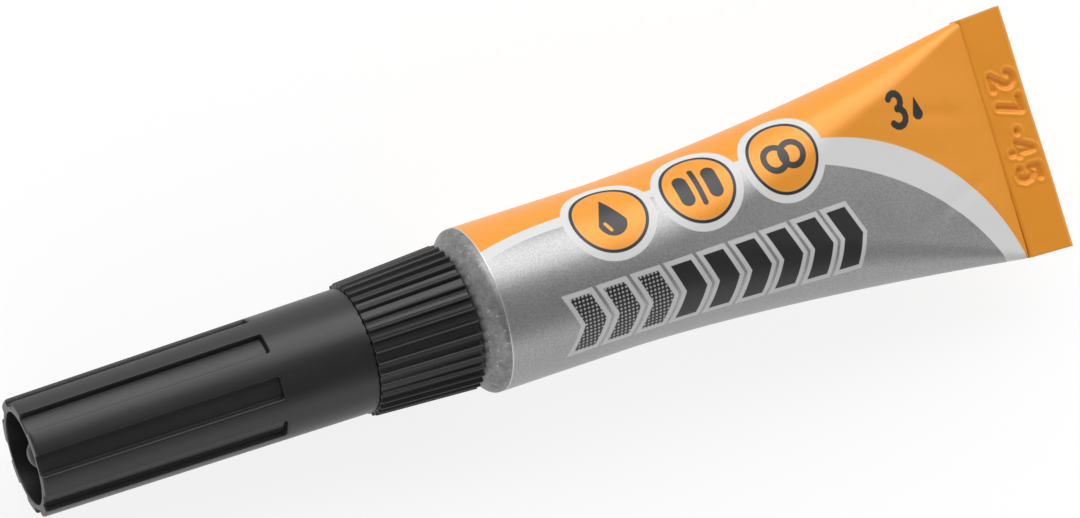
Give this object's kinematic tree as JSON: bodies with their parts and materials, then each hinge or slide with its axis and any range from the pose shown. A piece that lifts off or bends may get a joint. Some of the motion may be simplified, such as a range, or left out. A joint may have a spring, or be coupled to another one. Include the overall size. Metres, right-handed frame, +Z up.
{
  "type": "super glue tube",
  "caption": "Small aluminium glue tube with a folded flat end, a ribbed black nozzle collar and a long fluted black cap.",
  "frame": {"origin": "middle of the tube's outline, at the height of the surface that the round barrel lies on", "axes": "+X along the tube's axis from the cap to the folded end, +Z up, square to the flat of the folded end, +Y to the left of +X"},
  "size_m": [0.0896, 0.0208, 0.0135],
  "materials": {
    "printed_aluminium": "printed in orange, white and silver grey, bare and matt at the shoulder",
    "sealing_strip": "soft, matt",
    "clear_glue": "clear liquid",
    "nozzle_plastic": "satin black moulding",
    "pin_steel": "drawn steel wire",
    "cap_plastic": "satin black moulding"
  },
  "bodies": {
    "tube": {"tube_body": "printed_aluminium", "end_seal": "sealing_strip", "glue_fill": "clear_glue"},
    "nozzle": {"nozzle": "nozzle_plastic"},
    "cap_pin": {"cap_pin": "pin_steel"},
    "cap": {"cap": "cap_plastic"}
  },
  "joints": [
    {"name": "nozzle_pull", "type": "slide", "parent": "tube", "child": "nozzle", "axis": [-1, 0, 0], "range_m": [0, 0.01]},
    {"name": "cap_lift", "type": "slide", "parent": "nozzle", "child": "cap_pin", "axis": [-1, 0, 0], "range_m": [0, 0.018]},
    {"name": "cap_turn", "type": "hinge", "parent": "cap_pin", "child": "cap", "pos_m": [-0.0173, 0, 0.00675], "axis": [-1, 0, 0], "range_deg": [0, 3240]}
  ],
  "couplings": [
    {"joint": "cap_turn", "follows": "cap_lift", "rad_per_m": 3141.6}
  ]
}
